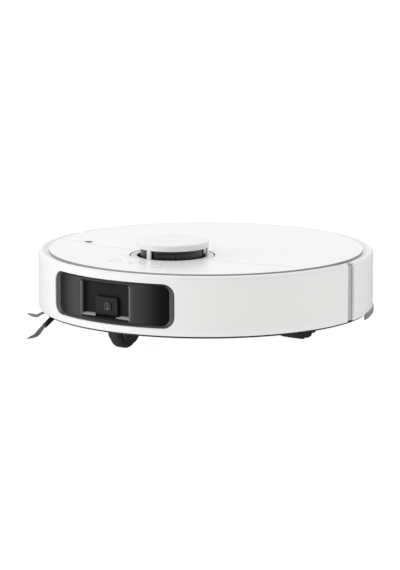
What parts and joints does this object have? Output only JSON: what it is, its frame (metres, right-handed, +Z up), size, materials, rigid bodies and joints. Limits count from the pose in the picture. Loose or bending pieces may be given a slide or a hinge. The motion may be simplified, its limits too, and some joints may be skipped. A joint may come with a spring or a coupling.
{
  "type": "robot vacuum",
  "caption": "Round white robot vacuum with a lidar turret, dark front camera window, sprung bumper, side brush, drive wheels and lift-off lid.",
  "frame": {"origin": "on the body's vertical axis, on the flat underside of the chassis, 12 mm above the floor that the wheels stand on", "axes": "+Z up, -Y towards the robot's front, +X towards the robot's own left; the floor is the plane z = -0.012"},
  "size_m": [0.364, 0.351, 0.0993],
  "materials": {
    "shell_white": "satin",
    "gloss_white": "gloss",
    "trim_grey": "satin",
    "inner_grey": "satin",
    "black_plastic": "satin",
    "window_black": "polished",
    "tyre_rubber": "matte",
    "brush_rubber": "matte",
    "bristle_grey": "satin",
    "smoke_clear": "gloss",
    "filter_white": "matte",
    "board_green": "satin",
    "battery_wrap": "satin",
    "motor_steel": "satin",
    "contact_steel": "polished"
  },
  "bodies": {
    "root": {"battery_cover": "black_plastic", "battery_pack": "battery_wrap", "brush_gearbox": "inner_grey", "brush_guard": "inner_grey", "brush_housing": "black_plastic", "brush_motor": "motor_steel", "caster_socket": "black_plastic", "chassis": "black_plastic", "cliff_window_front_left": "window_black", "cliff_window_front_right": "window_black", "cliff_window_rear_left": "window_black", "cliff_window_rear_right": "window_black", "contact_left": "contact_steel", "contact_right": "contact_steel", "dock_window": "window_black", "fan_housing": "inner_grey", "front_deck": "gloss_white", "inner_tray": "trim_grey", "lidar_belt": "brush_rubber", "lidar_motor": "motor_steel", "main_board": "board_green", "rear_shell": "shell_white", "rear_skirt": "inner_grey", "seam_strip_left": "trim_grey", "seam_strip_right": "trim_grey", "side_brush_motor": "motor_steel", "turret_base": "black_plastic"},
    "bumper": {"bumper": "shell_white", "window_frame": "window_black", "window_panel": "window_black", "camera_bay": "window_black", "camera_module": "black_plastic", "camera_lens": "window_black"},
    "turret_cover": {"turret_cover": "shell_white"},
    "lidar_head": {"lidar_head": "black_plastic", "lidar_lens": "window_black"},
    "lidar_pulley": {"lidar_pulley": "black_plastic"},
    "button_left": {"button_left": "gloss_white"},
    "button_middle": {"button_middle": "gloss_white"},
    "button_right": {"button_right": "gloss_white"},
    "dust_box": {"dust_box": "smoke_clear", "dust_box_cover": "inner_grey", "dust_filter": "filter_white"},
    "lid": {"lid": "gloss_white"},
    "main_brush": {"main_brush": "brush_rubber"},
    "side_brush": {"side_brush": "black_plastic", "side_bristles_1": "bristle_grey", "side_bristles_2": "bristle_grey", "side_bristles_3": "bristle_grey"},
    "caster_fork": {"caster_fork": "black_plastic"},
    "caster_wheel": {"caster_wheel": "tyre_rubber"},
    "wheel_arm_left": {"wheel_arm_left": "black_plastic"},
    "wheel_arm_right": {"wheel_arm_right": "black_plastic"},
    "wheel_left": {"wheel_hub_left": "inner_grey", "wheel_tyre_left": "tyre_rubber"},
    "wheel_right": {"wheel_hub_right": "inner_grey", "wheel_tyre_right": "tyre_rubber"},
    "fan_impeller": {"fan_impeller": "trim_grey"},
    "guard_latch_left": {"guard_latch_left": "trim_grey"},
    "guard_latch_right": {"guard_latch_right": "trim_grey"}
  },
  "joints": [
    {"name": "bumper_slide", "type": "slide", "parent": "root", "child": "bumper", "axis": [0, 1, 0], "range_m": [0, 0.003], "stiffness_N_per_m": 600, "springref_m": -0.002},
    {"name": "turret_press", "type": "slide", "parent": "root", "child": "turret_cover", "axis": [0, 0, -1], "range_m": [0, 0.0012], "stiffness_N_per_m": 1500, "springref_m": -0.001},
    {"name": "lidar_head_spin", "type": "hinge", "parent": "root", "child": "lidar_head", "pos_m": [0, -0.0594, 0.063], "axis": [0, 0, 1], "continuous": true},
    {"name": "lidar_pulley_spin", "type": "hinge", "parent": "root", "child": "lidar_pulley", "pos_m": [-0.06, -0.0594, 0.054], "axis": [0, 0, 1], "continuous": true},
    {"name": "button_left_press", "type": "slide", "parent": "root", "child": "button_left", "axis": [0, 0, -1], "range_m": [0, 0.0008], "stiffness_N_per_m": 400, "springref_m": -0.001},
    {"name": "button_middle_press", "type": "slide", "parent": "root", "child": "button_middle", "axis": [0, 0, -1], "range_m": [0, 0.0008], "stiffness_N_per_m": 400, "springref_m": -0.001},
    {"name": "button_right_press", "type": "slide", "parent": "root", "child": "button_right", "axis": [0, 0, -1], "range_m": [0, 0.0008], "stiffness_N_per_m": 400, "springref_m": -0.001},
    {"name": "dust_box_lift", "type": "slide", "parent": "root", "child": "dust_box", "axis": [0, 0, 1], "range_m": [0, 0.08]},
    {"name": "lid_lift", "type": "slide", "parent": "dust_box", "child": "lid", "axis": [0, 0, 1], "range_m": [0, 0.06]},
    {"name": "main_brush_spin", "type": "hinge", "parent": "root", "child": "main_brush", "pos_m": [0, -0.039, 0.0097], "axis": [1, 0, 0], "continuous": true},
    {"name": "side_brush_spin", "type": "hinge", "parent": "root", "child": "side_brush", "pos_m": [-0.1146, -0.0946, -0.002], "axis": [0, 0, 1], "continuous": true},
    {"name": "caster_swivel", "type": "hinge", "parent": "root", "child": "caster_fork", "pos_m": [0, -0.135, 0.026], "axis": [0, 0, 1], "continuous": true},
    {"name": "caster_roll", "type": "hinge", "parent": "caster_fork", "child": "caster_wheel", "pos_m": [0, -0.142, 0.0055], "axis": [1, 0, 0], "continuous": true},
    {"name": "wheel_arm_left_swing", "type": "hinge", "parent": "root", "child": "wheel_arm_left", "pos_m": [0.1001, 0.048, 0.03], "axis": [-1, 0, 0], "range_deg": [-18, 0], "stiffness_Nm_per_rad": 0.2, "springref_deg": -34.38},
    {"name": "wheel_left_roll", "type": "hinge", "parent": "wheel_arm_left", "child": "wheel_left", "pos_m": [0.115, 0, 0.025], "axis": [1, 0, 0], "continuous": true},
    {"name": "wheel_arm_right_swing", "type": "hinge", "parent": "root", "child": "wheel_arm_right", "pos_m": [-0.1001, 0.048, 0.03], "axis": [-1, 0, 0], "range_deg": [-18, 0], "stiffness_Nm_per_rad": 0.2, "springref_deg": -34.38},
    {"name": "wheel_right_roll", "type": "hinge", "parent": "wheel_arm_right", "child": "wheel_right", "pos_m": [-0.115, 0, 0.025], "axis": [1, 0, 0], "continuous": true},
    {"name": "fan_impeller_spin", "type": "hinge", "parent": "root", "child": "fan_impeller", "pos_m": [0.058, 0.112, 0.026], "axis": [0, 0, 1], "continuous": true},
    {"name": "guard_latch_left_slide", "type": "slide", "parent": "root", "child": "guard_latch_left", "axis": [-1, 0, 0], "range_m": [0, 0.0025], "stiffness_N_per_m": 60, "springref_m": -0.002},
    {"name": "guard_latch_right_slide", "type": "slide", "parent": "root", "child": "guard_latch_right", "axis": [1, 0, 0], "range_m": [0, 0.0025], "stiffness_N_per_m": 60, "springref_m": -0.002}
  ],
  "couplings": [
    {"joint": "lidar_pulley_spin", "follows": "lidar_head_spin", "ratio": 6}
  ]
}
